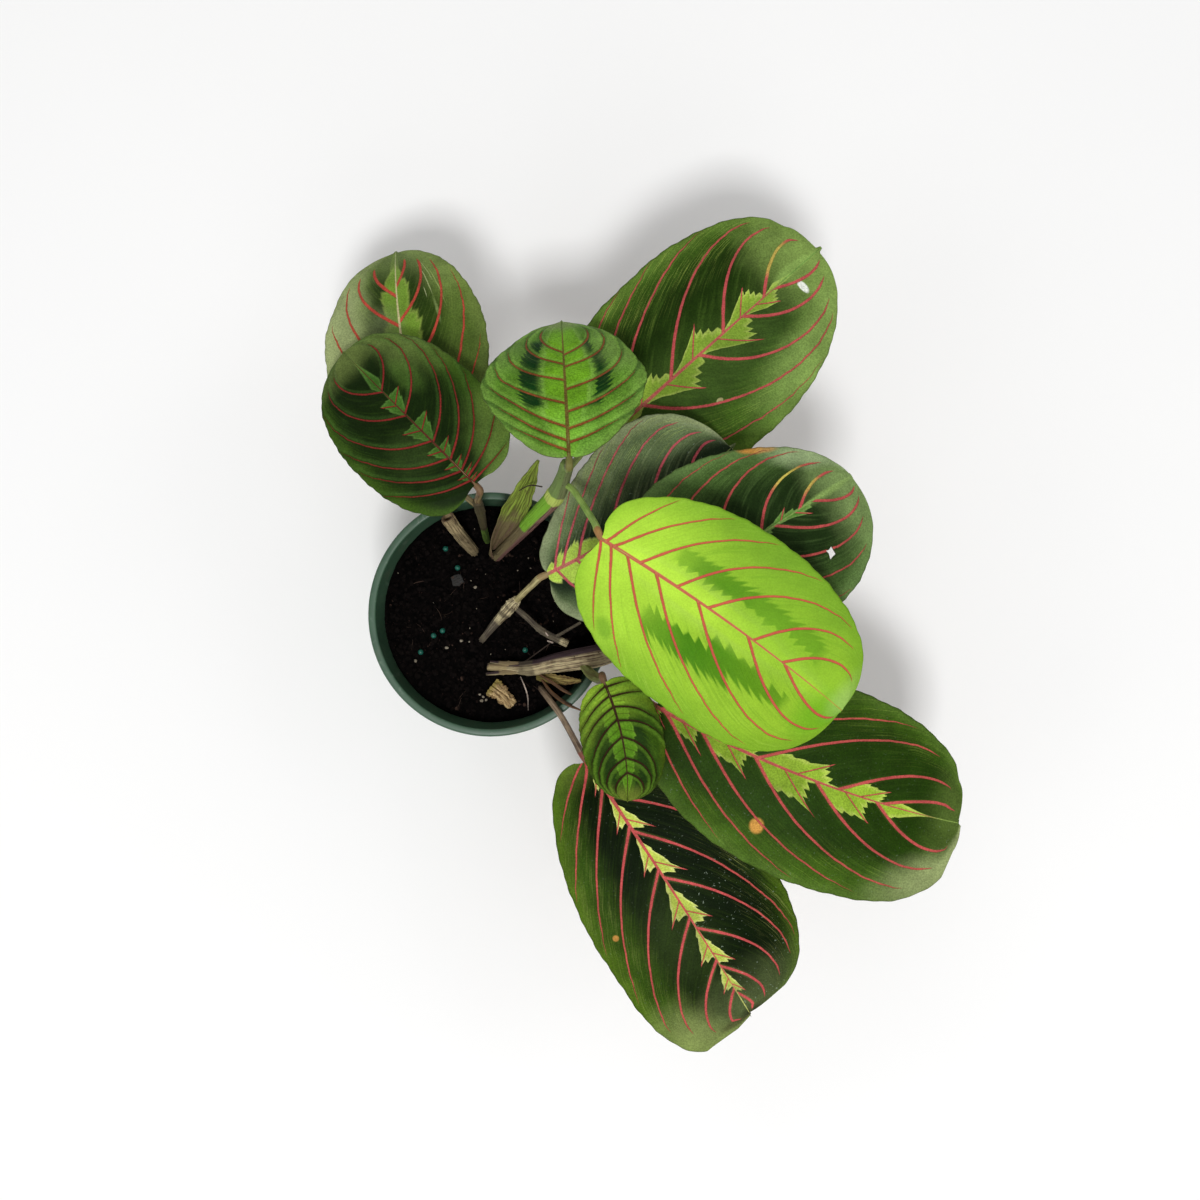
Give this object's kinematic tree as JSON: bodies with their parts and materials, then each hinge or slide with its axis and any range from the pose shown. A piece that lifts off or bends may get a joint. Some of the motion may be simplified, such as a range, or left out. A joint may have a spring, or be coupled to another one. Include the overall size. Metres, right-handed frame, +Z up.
{
  "type": "potted prayer plant",
  "caption": "Prayer plant with broad oval leaves on leaning stalks, their veins raised, growing from potting mix in a tapered round nursery pot with a flat lip.",
  "frame": {"origin": "middle of the pot's flat underside, on the pot's axis", "axes": "+Z up along the pot's axis; +Y towards the two leaves at the back left and back right; +X towards the side where most leaves hang out"},
  "size_m": [0.2733, 0.3567, 0.1679],
  "materials": {
    "pot_plastic": "dark green moulded plastic with a paler scuffed lip",
    "potting_mix": "moist near-black peat mix with crumbs and white grit",
    "leaf_dark": "satin near-black green leaf with red veins and light green blotches along the midrib",
    "leaf_green": "satin mid-green leaf with darker blotches and brown-red veins",
    "leaf_bright": "satin lime-green leaf with red veins and deeper green blotches",
    "leaf_grey": "dark green leaf with a greyish satin sheen and pink veins",
    "stem_green": "green stem with brown streaks and a yellow-green node",
    "stem_woody": "tan ribbed rhizome with a dark upper side",
    "sheath": "olive sheath with brown stripes and a dry edge",
    "dry_leaf": "dry tan papery remains",
    "grit": "grey bark and white grit",
    "bead": "teal coated fertiliser bead"
  },
  "bodies": {
    "root": {"pot": "pot_plastic", "soil": "potting_mix", "stem_back": "stem_green", "stem_centre": "stem_green", "stem_left": "stem_woody", "stem_right": "stem_woody", "cut_stub": "dry_leaf", "bract_centre": "sheath", "bract_right": "sheath", "dry_scrap": "dry_leaf", "bark_chip": "grit", "leaf_back_left_lower": "leaf_green", "leaf_back_left": "leaf_dark", "leaf_back_centre": "leaf_green", "leaf_back_right": "leaf_dark", "leaf_centre_low": "leaf_grey", "leaf_right_back": "leaf_dark", "leaf_top": "leaf_bright", "leaf_small": "leaf_green", "leaf_front": "leaf_dark", "leaf_right_front": "leaf_dark", "fertiliser_bead_1": "bead", "fertiliser_bead_2": "bead", "fertiliser_bead_3": "bead", "fertiliser_bead_4": "bead", "fertiliser_bead_5": "bead", "fertiliser_bead_6": "bead"}
  },
  "joints": []
}
